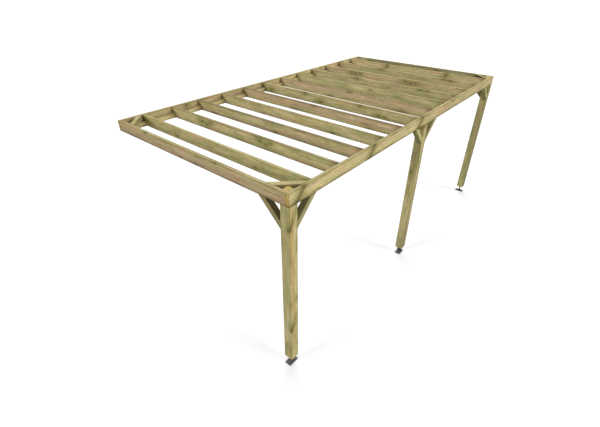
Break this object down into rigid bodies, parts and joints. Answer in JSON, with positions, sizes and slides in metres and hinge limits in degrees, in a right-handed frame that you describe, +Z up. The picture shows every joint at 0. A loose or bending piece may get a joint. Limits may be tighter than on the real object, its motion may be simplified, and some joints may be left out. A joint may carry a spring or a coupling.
{
  "type": "wall-mounted pergola",
  "caption": "Lean-to timber pergola frame: flat rafters between a wall plate and a braced front beam carried on posts with steel feet.",
  "frame": {"origin": "centre of the wall plate's back face, on the wall, at mid depth of the plate", "axes": "+X along the wall to the right seen from the front, +Y into the wall, +Z up"},
  "size_m": [5.955, 3.11, 2.51],
  "materials": {
    "post_timber": "planed softwood, pressure treated, green-brown",
    "beam_timber": "planed softwood, pressure treated, tan",
    "rafter_timber": "planed softwood, pressure treated, olive tan",
    "brace_timber": "planed softwood, pressure treated, olive",
    "foot_steel": "dark grey coated steel, satin"
  },
  "bodies": {
    "root": {"post_left": "post_timber", "post_middle": "post_timber", "post_right": "post_timber", "foot_left": "foot_steel", "foot_middle": "foot_steel", "foot_right": "foot_steel", "front_beam_left": "beam_timber", "front_beam_right": "beam_timber", "side_beam_left": "beam_timber", "side_beam_right": "beam_timber", "wall_plate_left": "beam_timber", "wall_plate_right": "beam_timber", "wall_ledger_left": "beam_timber", "wall_ledger_right": "beam_timber", "rafter_1": "rafter_timber", "rafter_2": "rafter_timber", "rafter_3": "rafter_timber", "rafter_4": "rafter_timber", "rafter_5": "rafter_timber", "rafter_6": "rafter_timber", "rafter_7": "rafter_timber", "rafter_8": "rafter_timber", "rafter_9": "rafter_timber", "rafter_10": "rafter_timber", "rafter_11": "rafter_timber", "rafter_12": "rafter_timber", "knee_brace_left_front": "brace_timber", "knee_brace_left_side": "brace_timber", "knee_brace_middle_left": "brace_timber", "knee_brace_middle_right": "brace_timber", "knee_brace_right_front": "brace_timber", "knee_brace_right_side": "brace_timber", "corner_brace_front_left": "brace_timber", "corner_brace_front_right": "brace_timber", "corner_brace_wall_left": "brace_timber", "corner_brace_wall_right": "brace_timber"}
  },
  "joints": []
}
